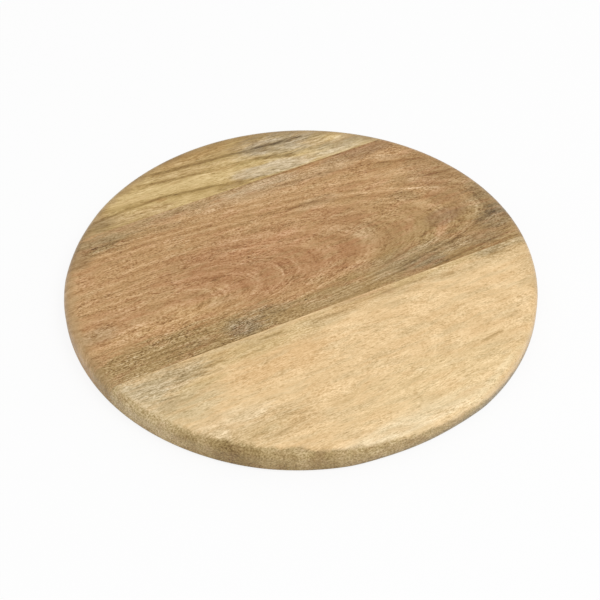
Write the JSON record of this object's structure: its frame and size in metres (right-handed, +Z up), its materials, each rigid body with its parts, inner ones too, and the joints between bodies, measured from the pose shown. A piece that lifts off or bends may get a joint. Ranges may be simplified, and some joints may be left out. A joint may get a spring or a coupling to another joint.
{
  "type": "round wooden cutting board",
  "caption": "Round flat wooden cutting board, edge-glued from staves of brown and pale wood, with its rim rounded over on both faces.",
  "frame": {"origin": "centre of the underside, which lies on the worktop", "axes": "+Z up out of the cutting face; +X along the grain and the glue seams; +Y across the staves, from the pale front stave to the striped back one"},
  "size_m": [0.3, 0.3, 0.016],
  "materials": {
    "striped_wood": "oiled, satin, yellow sapwood with dark stripes",
    "brown_wood": "oiled, satin, reddish brown heartwood",
    "pale_wood": "oiled, satin, creamy sapwood",
    "cured_glue": "cured wood glue, sanded flush"
  },
  "bodies": {
    "root": {"back_stave": "striped_wood", "middle_stave": "brown_wood", "front_stave": "pale_wood", "back_glue_line": "cured_glue", "front_glue_line": "cured_glue"}
  },
  "joints": []
}
